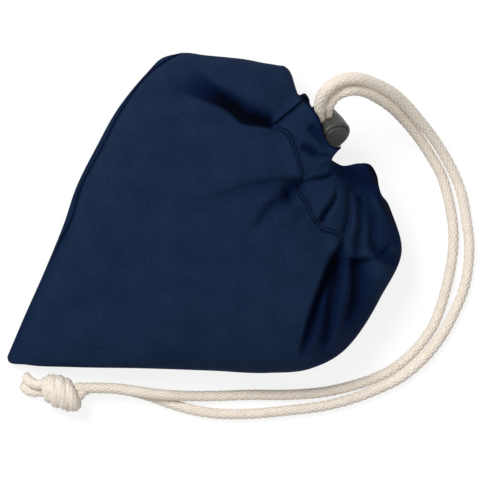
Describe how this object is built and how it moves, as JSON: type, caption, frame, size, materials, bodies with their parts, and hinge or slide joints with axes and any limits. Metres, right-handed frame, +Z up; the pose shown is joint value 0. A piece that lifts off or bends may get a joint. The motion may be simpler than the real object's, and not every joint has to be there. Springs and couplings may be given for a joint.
{
  "type": "foldable cotton bag",
  "caption": "Cotton shopping bag folded into its own drawstring pouch, with a two strand braided cord, spring cord stopper and knot.",
  "frame": {"origin": "centre of the pouch's outline, on the surface that the pouch lies on", "axes": "+Z up from the surface, +X along the pouch's longest extent towards the drawn mouth, +Y across it"},
  "size_m": [0.2049, 0.1603, 0.0487],
  "materials": {
    "navy_cotton": "woven, matt",
    "natural_cord": "braided cotton, matt",
    "dark_plastic": "satin",
    "button_plastic": "satin",
    "spring_steel": "bright wire"
  },
  "bodies": {
    "bag": {"pouch": "navy_cotton", "cord_strand_outer": "natural_cord", "cord_strand_inner": "natural_cord", "cord_knot": "natural_cord", "stopper_body": "dark_plastic", "stopper_spring": "spring_steel"},
    "plunger": {"stopper_plunger": "button_plastic"}
  },
  "joints": [
    {"name": "plunger_press", "type": "slide", "parent": "bag", "child": "plunger", "axis": [-0.4599, 0.6548, -0.5998], "range_m": [0, 0.003], "stiffness_N_per_m": 600, "springref_m": -0.003, "deforming": ["stopper_spring"]}
  ]
}
